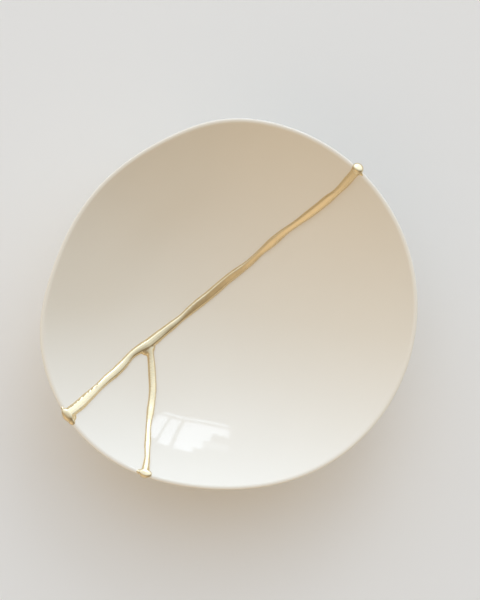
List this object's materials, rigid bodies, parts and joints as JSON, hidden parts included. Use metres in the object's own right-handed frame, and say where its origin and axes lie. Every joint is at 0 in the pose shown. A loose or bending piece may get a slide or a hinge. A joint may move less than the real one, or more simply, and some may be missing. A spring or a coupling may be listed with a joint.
{
  "type": "kintsugi bowl",
  "caption": "Small shallow porcelain bowl on a foot ring, pressed slightly out of round, broken into shards and mended with a raised branching gold seam.",
  "frame": {"origin": "under the middle of the bowl's bounding box, at the height of the foot ring's contact face", "axes": "+Z up, out of the bowl's mouth; seen from above with +Y up, the main crack runs from the upper right to the lower left and the branch leaves it for the lower rim"},
  "size_m": [0.1058, 0.104, 0.027],
  "materials": {
    "glazed_porcelain": "clear gloss glaze over warm white porcelain",
    "gold_lacquer": "raised lacquer burnished with gold powder, metallic gloss"
  },
  "bodies": {
    "root": {"shard_large_upper": "glazed_porcelain", "shard_large_lower": "glazed_porcelain", "shard_small_wedge": "glazed_porcelain", "gold_seam": "gold_lacquer"}
  },
  "joints": []
}
